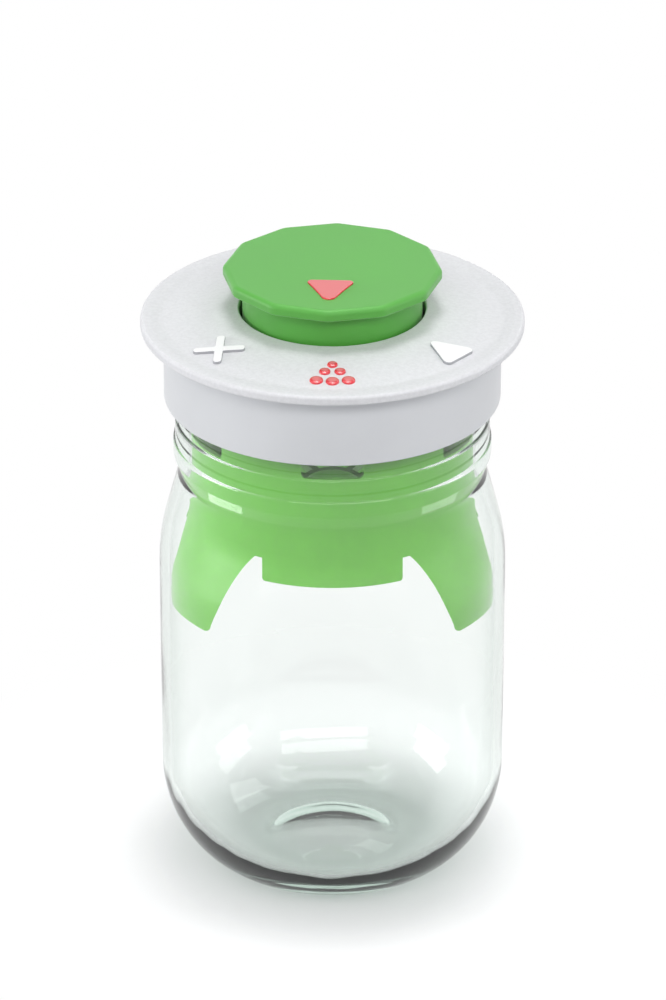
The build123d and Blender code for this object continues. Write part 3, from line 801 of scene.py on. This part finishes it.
class JAR_OT_cap(bpy.types.Operator):
    """Adds the thread inside the cap's skirt and gives the cap its finish"""

    bl_idname = "jar.cap"
    bl_label = "Screw cap"

    def execute(self, context):
        settings = context.scene.fermentation_jar
        thread = settings.thread
        cap = merged_copy("screw_cap", "cap_moulding")
        root = settings.lid.skirt_inside + thread.play
        crest = settings.lid.skirt_inside - thread.depth
        below = thread.width + thread.play
        start = settings.glass.height - thread.rise - below
        weld_on(cap, thread_ridges("cap_ridges", thread, root, crest, start))
        smooth(cap, 30)
        apply_modifier(cap, "WEIGHTED_NORMAL", keep_sharp=True)
        shade = tuple(settings.lid.cap_colour)
        white = moulded_plastic(
            "cap_white", shade, roughness=0.36, grain=0.5 * MM, depth=0.006 * MM, glow=0.1
        )
        hand_over(cap, "lid", "cap_white", white, "screw_cap")
        return {"FINISHED"}


class JAR_OT_dial(bpy.types.Operator):
    """Grains the dial and raises its signs: a cross, a triangle and six red dots"""

    bl_idname = "jar.dial"
    bl_label = "Dial and signs"

    def execute(self, context):
        settings = context.scene.fermentation_jar
        self.lid = settings.lid
        paint("dial_plate", grained_white(self.lid))
        side = tuple(self.lid.sign_painted_shade)
        # The signs' sides are painted dark grey as shade; their tops are white
        white = two_tone("sign_white", side, tuple(self.lid.sign_colour), (0.75, 0.95), 0.45, coat=0)
        hand_over(self.cross(), "lid", "dial_white", white)
        hand_over(self.triangle(), "lid", "dial_white", white)
        green = settings.green
        # The dots' tops are painted lighter pink as a highlight; their sides are red
        self.dots(two_tone("dot_red", tuple(green.red), tuple(green.dot_painted_highlight), (0.93, 0.995), 0.2))
        return {"FINISHED"}

    def on_dial(self, piece):
        """Lets a flat piece over the XY plane follow the dial's face, sunk a little into it."""
        lid = self.lid
        edge = DIAL_BOX[0].z + lid.dial_edge
        valley = edge - lid.valley_depth
        slope = (lid.dial_rise + lid.valley_depth) / (lid.valley_radius - lid.dial_hole)

        def settle(place):
            away = place.xy.length
            face = max(valley, valley + slope * (lid.valley_radius - away))
            return Vector((place.x, place.y, face + place.z - lid.sign_sink))

        reshape(piece, settle)

    def raise_sign(self, piece):
        """Thickens a flat outline and rounds its upper edges."""
        bpy.ops.mesh.select_all(action="SELECT")
        height = self.lid.sign_height + self.lid.sign_sink
        bpy.ops.mesh.extrude_region_move(TRANSFORM_OT_translate={"value": (0, 0, height)})
        bpy.ops.mesh.bevel(offset=self.lid.sign_rounding, segments=3, profile=0.5, affect="EDGES")
        clean_shell()

    def cross(self):
        """Two bars with rounded ends, at half a right angle to the radius."""
        lid = self.lid
        piece = self.outline("closed_sign", self.cross_corners(lid))
        self.raise_sign(piece)
        turn = Matrix.Rotation(-lid.sign_angle, 4, "Z") @ Matrix.Translation((0, -lid.cross_radius, 0))
        piece.data.transform(turn @ Matrix.Rotation(lid.cross_turn, 4, "Z"))
        self.finish_sign(piece)
        return piece

    def cross_corners(self, lid):
        """Corners of the cross, anticlockwise, as (x, y, rounding)."""
        reach = lid.cross_length / 2
        half = lid.cross_width / 2
        arm = [(reach, -half, half * 0.9), (reach, half, half * 0.9), (half, half, half * 0.3)]
        corners = []
        for quarter in range(4):
            spin = Matrix.Rotation(radians(90) * quarter, 2)
            corners += [(*(spin @ Vector(corner[:2])), corner[2]) for corner in arm]
        return corners

    def triangle(self):
        """A triangle whose apex points at the knob."""
        lid = self.lid
        half = lid.open_width / 2
        corners = [
            (0, -lid.open_apex, lid.open_rounding),
            (-half, -lid.open_base, lid.open_rounding),
            (half, -lid.open_base, lid.open_rounding),
        ]
        piece = self.outline("open_sign", corners)
        self.raise_sign(piece)
        piece.data.transform(Matrix.Rotation(lid.sign_angle, 4, "Z"))
        self.finish_sign(piece)
        return piece

    def outline(self, name, corners):
        """A flat face with rounded corners in the XY plane, left in edit mode."""
        around = [corners[-1], *corners, corners[0]]
        points = rounded(around, step=radians(15))[1:-1]
        piece = draw_line(name, [tuple(point) for point in points], close=True)
        bpy.ops.object.mode_set(mode="OBJECT")
        piece.data.transform(Matrix.Rotation(radians(-90), 4, "X"))
        bpy.ops.object.mode_set(mode="EDIT")
        return piece

    def finish_sign(self, piece):
        """Puts the sign on the dial and smooths it."""
        self.on_dial(piece)
        smooth(piece, 40)
        apply_modifier(piece, "WEIGHTED_NORMAL", keep_sharp=True)

    def dots(self, red):
        """Six buttons in a triangle: one, two and three, larger towards the rim."""
        lid = self.lid
        for number, (aside, out, radius) in enumerate(DOTS, start=1):
            deselect_everything()
            bpy.ops.mesh.primitive_circle_add(
                vertices=48, radius=radius, fill_type="NGON", location=(aside, -out, 0)
            )
            dot = named(f"vent_dot_{number}")
            bpy.ops.object.transform_apply()
            bpy.ops.object.mode_set(mode="EDIT")
            bpy.ops.mesh.select_all(action="SELECT")
            bpy.ops.mesh.extrude_region_move(TRANSFORM_OT_translate={"value": (0, 0, lid.dot_height)})
            bpy.ops.mesh.inset(thickness=0.45 * radius)
            bpy.ops.transform.translate(value=(0, 0, lid.dot_dome))
            bpy.ops.mesh.select_all(action="SELECT")
            bpy.ops.mesh.bevel(offset=lid.dot_rounding, segments=5, profile=0.5, affect="EDGES")
            clean_shell()
            self.finish_sign(dot)
            hand_over(dot, "lid", "pointer_red", red)


class JAR_OT_knob(bpy.types.Operator):
    """Gives the knob and its pointer their finishes"""

    bl_idname = "jar.knob"
    bl_label = "Knob"

    def execute(self, context):
        green = context.scene.fermentation_jar.green
        shade = tuple(green.knob_colour)
        satin = moulded_plastic(
            "knob_green", shade, roughness=0.5, grain=0.45 * MM, depth=0.01 * MM, glow=0.3, sheen=0.3
        )
        paint("knob", satin)
        # The pointer's top is painted lighter as a highlight; its sides are red
        red = two_tone("pointer_red", tuple(green.red), tuple(green.pointer_painted_highlight), (0.7, 0.97), 0.16)
        paint("knob_pointer", red)
        return {"FINISHED"}


class JAR_OT_vent(bpy.types.Operator):
    """Finishes the seals and the vent's parts inside the cap"""

    bl_idname = "jar.vent"
    bl_label = "Seals and vent"

    def execute(self, context):
        silicone = silicone_rubber()
        for node in ("rim_gasket", "port_gasket", "vent_valve"):
            paint(node, silicone)
        white = moulded_plastic(
            "rotor_white", (0.78, 0.78, 0.76), roughness=0.4, grain=0.5 * MM, depth=0.006 * MM
        )
        paint("rotor_disc", white)
        paint("spindle_o_ring", black_rubber())
        paint("retaining_washer", rolled_steel())
        return {"FINISHED"}


class JAR_PT_panel(bpy.types.Panel):
    """Lists the jar's pieces and their settings"""

    bl_idname = "JAR_PT_panel"
    bl_label = "Fermentation jar"
    bl_space_type = "VIEW_3D"
    bl_region_type = "UI"
    bl_category = "Jar"

    def draw(self, context):
        settings = context.scene.fermentation_jar
        for operator in OPERATORS:
            self.layout.operator(operator.bl_idname)
        for group in (settings.glass, settings.thread, settings.lid, settings.green, settings.studio):
            box = self.layout.box()
            for name in group.__annotations__:
                box.prop(group, name)


GROUPS = (GlassSettings, ThreadSettings, LidSettings, GreenSettings, StudioSettings, JarSettings)
OPERATORS = (
    JAR_OT_stage,
    JAR_OT_glass,
    JAR_OT_press,
    JAR_OT_cap,
    JAR_OT_dial,
    JAR_OT_knob,
    JAR_OT_vent,
)


def register():
    """Registers the settings, the operators and the panel."""
    for made in (*GROUPS, *OPERATORS, JAR_PT_panel):
        bpy.utils.register_class(made)
    bpy.types.Scene.fermentation_jar = PointerProperty(type=JarSettings)


def unregister():
    """Takes them away again."""
    del bpy.types.Scene.fermentation_jar
    for made in reversed((*GROUPS, *OPERATORS, JAR_PT_panel)):
        bpy.utils.unregister_class(made)


def main():
    register()
    bpy.ops.jar.stage()
    bpy.ops.jar.glass()
    bpy.ops.jar.press()
    bpy.ops.jar.cap()
    bpy.ops.jar.dial()
    bpy.ops.jar.knob()
    bpy.ops.jar.vent()
    deselect_everything()


if __name__ == "__main__":
    main()
